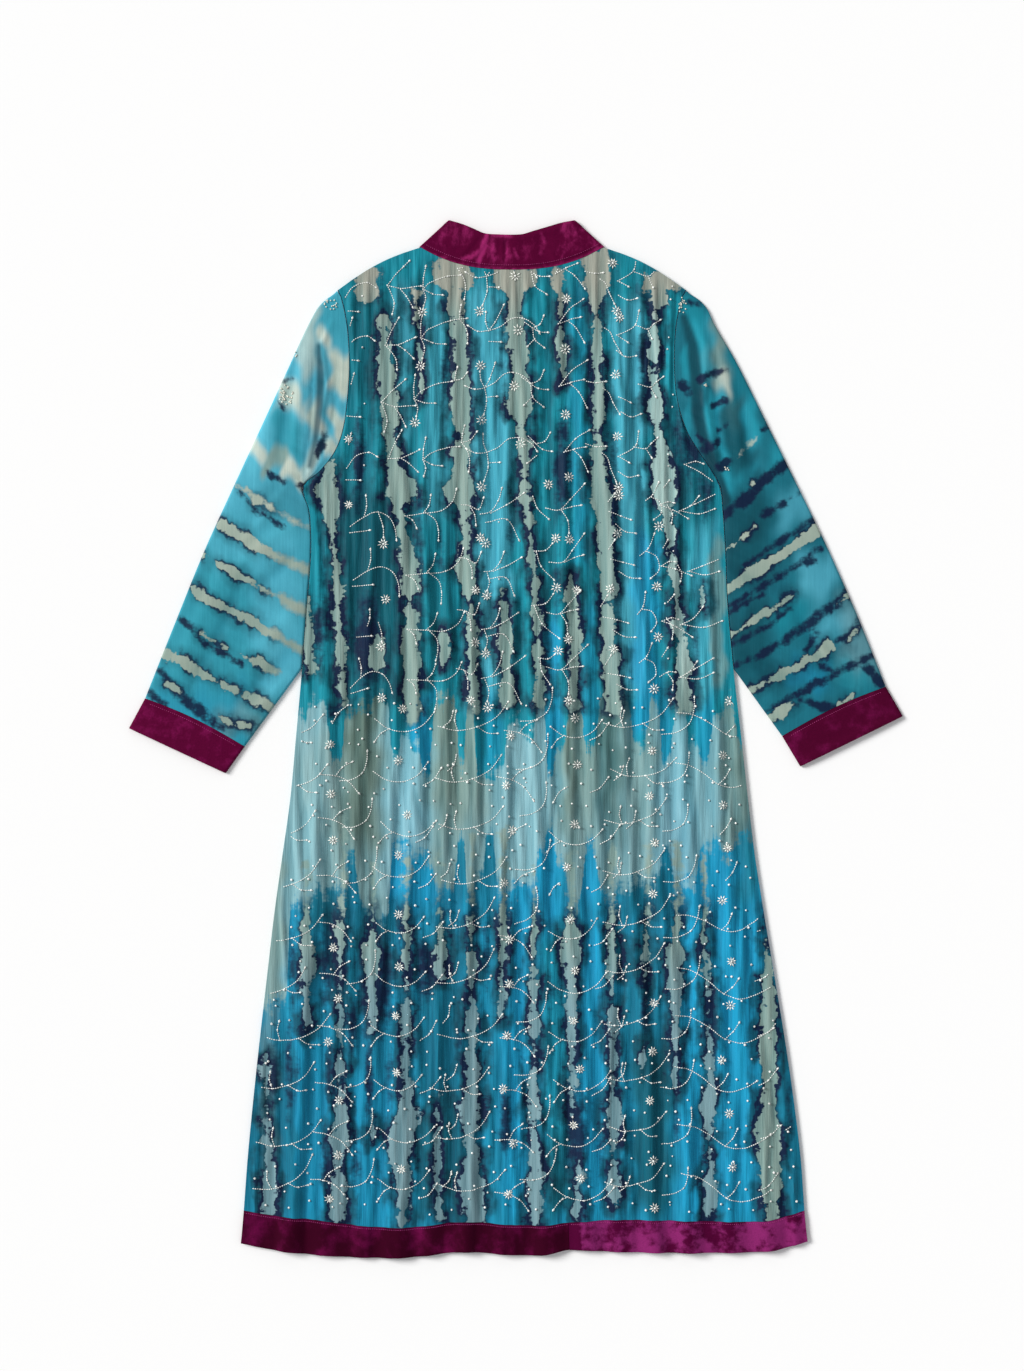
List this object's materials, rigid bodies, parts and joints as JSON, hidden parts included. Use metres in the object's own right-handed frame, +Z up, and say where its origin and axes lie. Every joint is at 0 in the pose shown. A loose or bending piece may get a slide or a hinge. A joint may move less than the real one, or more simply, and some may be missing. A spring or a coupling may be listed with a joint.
{
  "type": "silk jacket",
  "caption": "Knee-length silk jacket laid out flat with its back up, with soft lengthwise folds, three-quarter sleeves, and a stand collar, cuffs and hem band of velvet.",
  "frame": {"origin": "on the surface that the jacket lies on, under the middle of its outline", "axes": "+X towards the wearer's right, +Y from the hem towards the collar, +Z up out of the jacket's back"},
  "size_m": [0.8506, 1.1393, 0.0101],
  "materials": {
    "silk_body": "crinkled silk, tie-dyed in turquoise, navy and sage, with silver embroidery",
    "silk_sleeves": "smooth silk, tie-dyed in cross stripes of turquoise, cream and navy",
    "velvet": "crushed magenta velvet"
  },
  "bodies": {
    "root": {"back": "silk_body", "front_left": "silk_body", "front_right": "silk_body", "sleeve_left": "silk_sleeves", "sleeve_right": "silk_sleeves", "collar": "velvet", "cuff_left": "velvet", "cuff_right": "velvet", "hem_back_left": "velvet", "hem_back_right": "velvet", "hem_front_left": "velvet", "hem_front_right": "velvet"}
  },
  "joints": []
}
